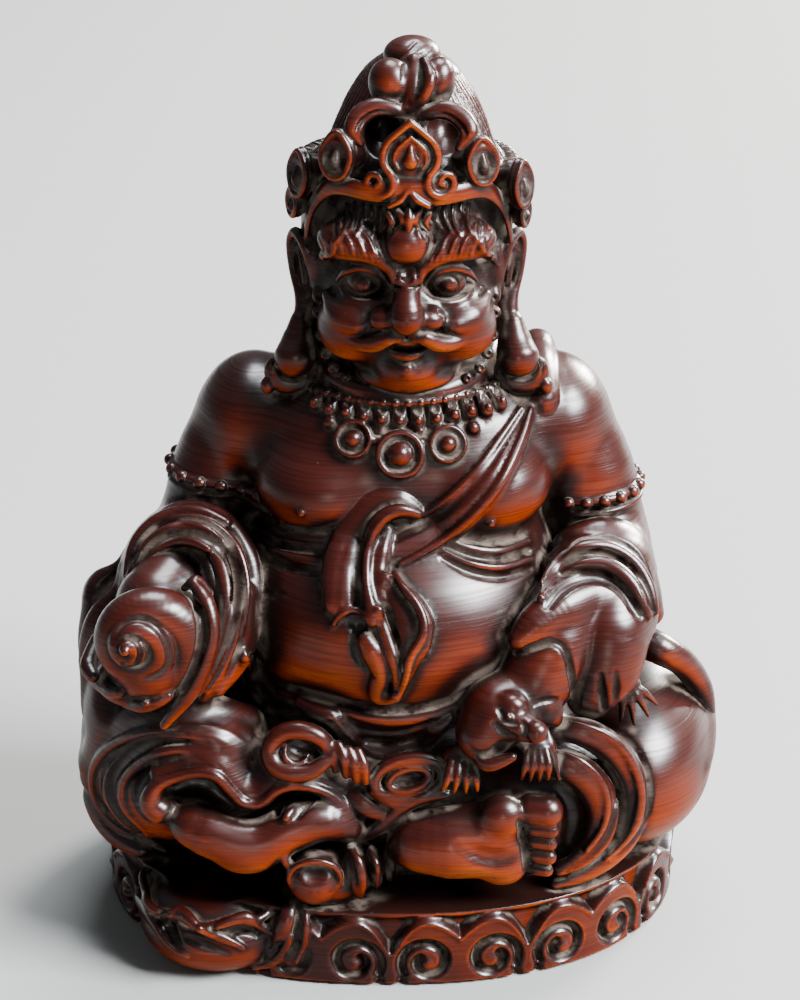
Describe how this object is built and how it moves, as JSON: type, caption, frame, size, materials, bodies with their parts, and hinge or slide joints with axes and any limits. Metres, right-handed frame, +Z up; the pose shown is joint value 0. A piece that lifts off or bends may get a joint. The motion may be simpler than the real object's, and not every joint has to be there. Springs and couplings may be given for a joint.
{
  "type": "carved seated figure of jambhala",
  "caption": "Boxwood carving of a stout seated wealth deity with a conch and a mongoose, one foot on a lotus leaf, on an oval base with cloud scrolls.",
  "frame": {"origin": "the middle of the bounding box, on the surface that the base stands on", "axes": "+Z up along the figure's height, -Y the way the face looks, +X towards the mongoose"},
  "size_m": [0.072, 0.0528, 0.1],
  "materials": {
    "boxwood": "oiled and polished, dark in the hollows"
  },
  "bodies": {
    "root": {"jambhala_carving": "boxwood"}
  },
  "joints": []
}
